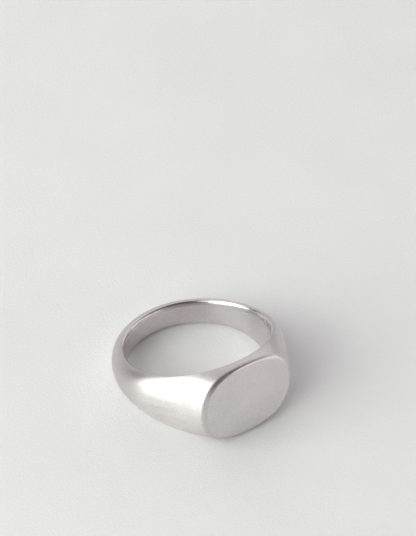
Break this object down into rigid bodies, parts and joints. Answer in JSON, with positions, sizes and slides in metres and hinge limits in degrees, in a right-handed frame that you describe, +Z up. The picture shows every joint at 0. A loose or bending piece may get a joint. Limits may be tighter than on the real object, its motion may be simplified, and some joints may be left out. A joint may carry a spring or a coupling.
{
  "type": "signet ring",
  "caption": "Plain oval-faced signet ring in satin silver, with a crowned shank that widens into smooth shoulders and a flat blank face; it lies on its side.",
  "frame": {"origin": "on the surface that the ring lies on, under the centre of its bounding box", "axes": "+Z up; the flat signet face looks towards -Y and, because the ring lies on its side, leans 10.9 degrees upwards; X runs across the ring, which is symmetric about X = 0; the finger hole's axis leans 10.9 degrees from +Z towards +Y"},
  "size_m": [0.022, 0.0222, 0.0108],
  "materials": {
    "shank_silver": "satin sterling silver",
    "head_silver": "satin sterling silver",
    "plate_silver": "flat satin sterling silver with a fine straight grain",
    "silver_solder": "hard silver solder, dressed flush and finished with the ring"
  },
  "bodies": {
    "root": {"shank": "shank_silver", "head": "head_silver", "signet_plate": "plate_silver", "plate_solder": "silver_solder", "left_joint_solder": "silver_solder", "right_joint_solder": "silver_solder"}
  },
  "joints": []
}
